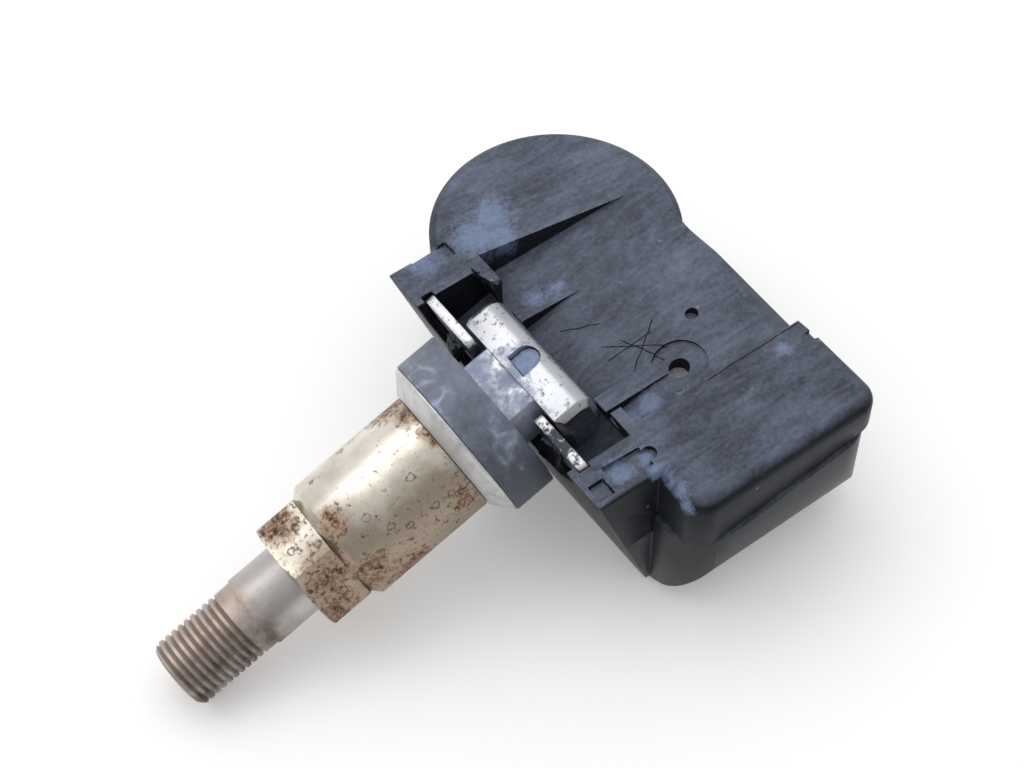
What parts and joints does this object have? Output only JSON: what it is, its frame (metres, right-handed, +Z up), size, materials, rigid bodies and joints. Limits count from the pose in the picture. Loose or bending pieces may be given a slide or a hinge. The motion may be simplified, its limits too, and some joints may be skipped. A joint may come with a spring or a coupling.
{
  "type": "tyre pressure sensor",
  "caption": "Clamp-in tyre pressure sensor: moulded housing with a round battery lobe, swivelling metal valve with rubber grommet and long nut, and a sprung valve core.",
  "frame": {"origin": "on the floor under the middle of the housing, on the flat underside of the tray", "axes": "+Z up, -X towards the valve mouth, +Y towards the round battery lobe"},
  "size_m": [0.0717, 0.0511, 0.0255],
  "materials": {
    "housing_plastic": "moulded, fine grain, dusty",
    "tray_plastic": "moulded, smooth",
    "board_laminate": "solder mask",
    "cell_steel": "nickel-plated can",
    "contact_steel": "stamped strip",
    "fork_steel": "stamped plate, pitted",
    "chip_epoxy": "moulded",
    "seal_rubber": "silicone",
    "coil_ferrite": "sintered",
    "antenna_copper": "bare strip",
    "capacitor_ceramic": "fired",
    "stem_aluminium": "turned, oxidised",
    "grommet_rubber": "moulded, bloomed",
    "washer_aluminium": "turned",
    "nut_nickel": "nickel plate, corroded",
    "core_brass": "turned",
    "core_rubber": "moulded",
    "spring_steel": "drawn wire"
  },
  "bodies": {
    "housing": {"sensor_housing": "housing_plastic", "base_tray": "tray_plastic", "circuit_board": "board_laminate", "coin_cell": "cell_steel", "cell_tab_positive": "contact_steel", "cell_tab_negative": "contact_steel", "sensor_chip": "chip_epoxy", "port_seal": "seal_rubber", "wake_up_coil": "coil_ferrite", "loop_antenna": "antenna_copper", "crystal_can": "contact_steel", "chip_capacitors": "capacitor_ceramic", "locking_fork": "fork_steel"},
    "valve": {"valve_stem": "stem_aluminium", "sealing_grommet": "grommet_rubber", "core_plug": "core_brass", "core_barrel": "core_brass", "core_gasket": "core_rubber", "core_spring": "spring_steel"},
    "washer": {"nut_washer": "washer_aluminium"},
    "nut": {"collar_nut": "nut_nickel"},
    "pin": {"core_pin": "core_brass", "core_cup": "core_rubber"}
  },
  "joints": [
    {"name": "valve_swivel", "type": "hinge", "parent": "housing", "child": "valve", "pos_m": [-0.012, 0, 0.0183], "axis": [0, 1, 0], "range_deg": [-3.5, 3.5]},
    {"name": "nut_travel", "type": "slide", "parent": "valve", "child": "washer", "axis": [-0.9489, 0, -0.3157], "range_m": [0, 0.00801]},
    {"name": "nut_turn", "type": "hinge", "parent": "washer", "child": "nut", "pos_m": [-0.012, 0, 0.0183], "axis": [-0.9489, 0, -0.3157], "range_deg": [0, 2880]},
    {"name": "core_pin_press", "type": "slide", "parent": "valve", "child": "pin", "axis": [0.9489, 0, 0.3157], "range_m": [0, 0.0012], "stiffness_N_per_m": 500, "deforming": ["core_spring"]}
  ],
  "couplings": [
    {"joint": "nut_travel", "follows": "nut_turn", "m_per_rad": 0.00015915}
  ]
}
